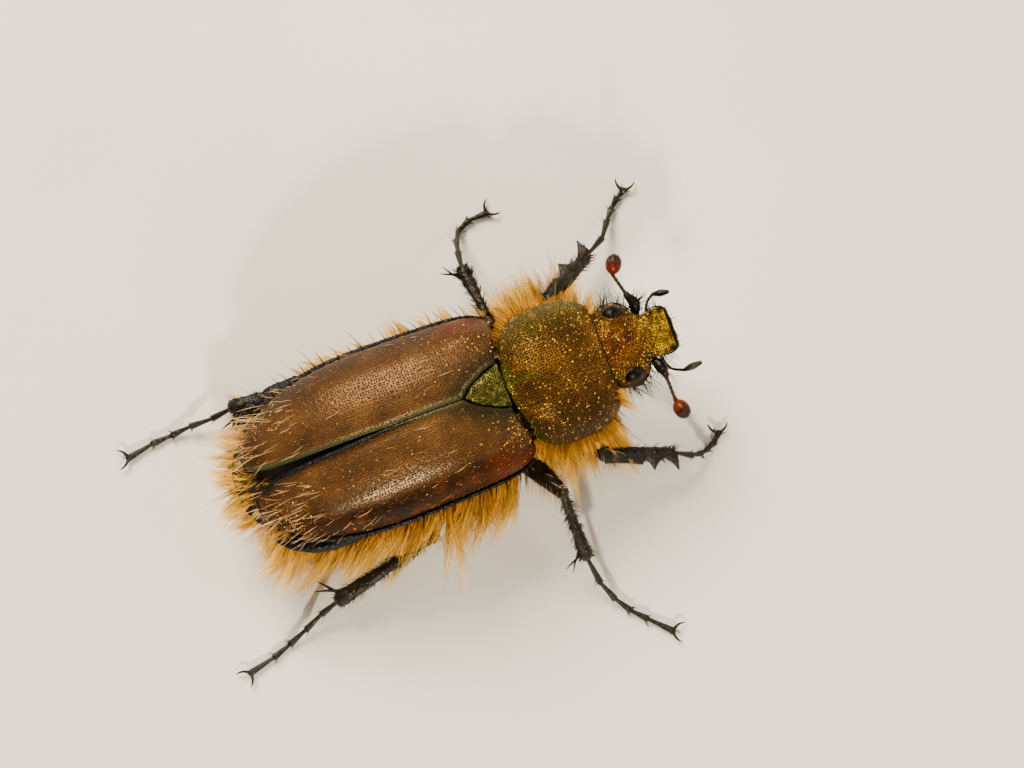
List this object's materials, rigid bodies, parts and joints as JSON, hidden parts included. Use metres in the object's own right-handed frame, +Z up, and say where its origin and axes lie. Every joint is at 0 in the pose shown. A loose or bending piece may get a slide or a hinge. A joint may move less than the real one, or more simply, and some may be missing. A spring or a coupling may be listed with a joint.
{
  "type": "flower scarab beetle model",
  "caption": "Life-size museum model of a standing flower scarab with a long golden coat, spread legs, round antennal clubs and closed wing cases.",
  "frame": {"origin": "the floor, under the middle of the model's box as seen from above", "axes": "-Y is the way the head points, +Y the rear, +X the beetle's own left side, +Z up from the floor"},
  "size_m": [0.0144, 0.0172, 0.0053],
  "materials": {
    "pronotum_cuticle": "bronze-green, finely punctured, satin",
    "elytra_cuticle": "reddish brown, punctured, glossy",
    "scutellum_cuticle": "metallic green, satin",
    "head_cuticle": "coppery bronze with a yellow-green front, satin",
    "eye_facets": "black, glossy",
    "antenna_cuticle": "amber stalk and orange-red club, satin",
    "leg_cuticle": "black with a bronze sheen, glossy",
    "coat": "long golden hair over a dark body"
  },
  "bodies": {
    "root": {"head": "head_cuticle", "eye_left": "eye_facets", "eye_right": "eye_facets", "antenna_left": "antenna_cuticle", "antenna_right": "antenna_cuticle", "palp_left": "leg_cuticle", "palp_right": "leg_cuticle", "prothorax": "pronotum_cuticle", "scutellum": "scutellum_cuticle", "elytron_left": "elytra_cuticle", "elytron_right": "elytra_cuticle", "thorax": "coat", "abdomen": "coat", "leg_front_left": "leg_cuticle", "leg_front_right": "leg_cuticle", "leg_mid_left": "leg_cuticle", "leg_mid_right": "leg_cuticle", "leg_hind_left": "leg_cuticle", "leg_hind_right": "leg_cuticle"}
  },
  "joints": []
}
